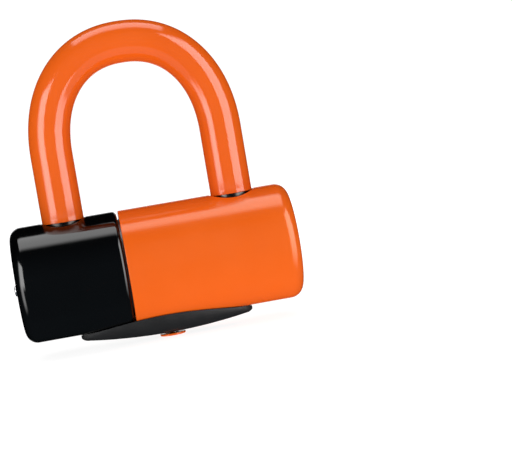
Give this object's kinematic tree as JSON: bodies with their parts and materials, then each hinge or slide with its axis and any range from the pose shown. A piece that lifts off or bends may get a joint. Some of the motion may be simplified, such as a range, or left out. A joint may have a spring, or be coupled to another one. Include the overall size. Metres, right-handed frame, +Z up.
{
  "type": "disc brake lock",
  "caption": "Motorcycle disc brake lock: orange coated U shackle in a round crossbar, key-turned deadbolts, swing dust cover over the keyway.",
  "frame": {"origin": "on the ground under the middle of the lock, below the dust cover, with the lock standing on its crossbar", "axes": "+X along the crossbar towards its closed orange end, +Y away from the viewer, +Z up along the shackle's legs"},
  "size_m": [0.1064, 0.0412, 0.1192],
  "materials": {
    "orange_coat": "glossy vinyl sleeve",
    "orange_gloss": "glossy moulded shell",
    "black_gloss": "glossy moulded shell",
    "black_satin": "satin bumper",
    "dark_steel": "blackened hardened steel",
    "core_steel": "machined hardened steel",
    "bright_steel": "ground steel",
    "brass": "turned brass"
  },
  "bodies": {
    "crossbar": {"crossbar_core": "core_steel", "channel_plug": "dark_steel", "barrel_pin": "bright_steel", "end_cap": "black_gloss", "orange_housing": "orange_gloss", "end_cap_pin": "bright_steel", "lock_barrel": "brass", "anti_drill_plate": "dark_steel", "index_ball": "bright_steel", "index_spring": "bright_steel", "bezel_rivet_left": "dark_steel", "bezel_rivet_right": "dark_steel", "keyway_bezel": "black_satin", "cover_washer": "bright_steel", "cover_rivet": "bright_steel"},
    "shackle": {"shackle_bar": "dark_steel", "shackle_coating": "orange_coat"},
    "cylinder": {"disc_carrier": "brass", "code_disc_1": "brass", "code_disc_2": "brass", "code_disc_3": "brass", "code_disc_4": "brass", "code_disc_5": "brass", "disc_spacer_1": "bright_steel", "disc_spacer_2": "bright_steel", "disc_spacer_3": "bright_steel", "disc_spacer_4": "bright_steel", "sidebar": "bright_steel", "cam_driver": "dark_steel"},
    "left_bolt": {"deadbolt_left": "bright_steel"},
    "right_bolt": {"deadbolt_right": "bright_steel"},
    "cover": {"dust_cover": "orange_gloss"}
  },
  "joints": [
    {"name": "shackle_lift", "type": "slide", "parent": "crossbar", "child": "shackle", "axis": [0, 0, 1], "range_m": [0, 0.036]},
    {"name": "cylinder_turn", "type": "hinge", "parent": "crossbar", "child": "cylinder", "pos_m": [0.0014, 0, 0.02], "axis": [0, 0, 1], "range_deg": [0, 90]},
    {"name": "left_bolt_throw", "type": "slide", "parent": "crossbar", "child": "left_bolt", "axis": [-1, 0, 0], "range_m": [0, 0.00471]},
    {"name": "right_bolt_throw", "type": "slide", "parent": "crossbar", "child": "right_bolt", "axis": [1, 0, 0], "range_m": [0, 0.00471]},
    {"name": "dust_cover_swing", "type": "hinge", "parent": "crossbar", "child": "cover", "pos_m": [0.0014, 0.0076, 0.001], "axis": [0, 0, 1], "range_deg": [-110, 110]}
  ],
  "couplings": [
    {"joint": "cylinder_turn", "follows": "left_bolt_throw", "rad_per_m": 333.33},
    {"joint": "right_bolt_throw", "follows": "left_bolt_throw", "ratio": 1}
  ]
}
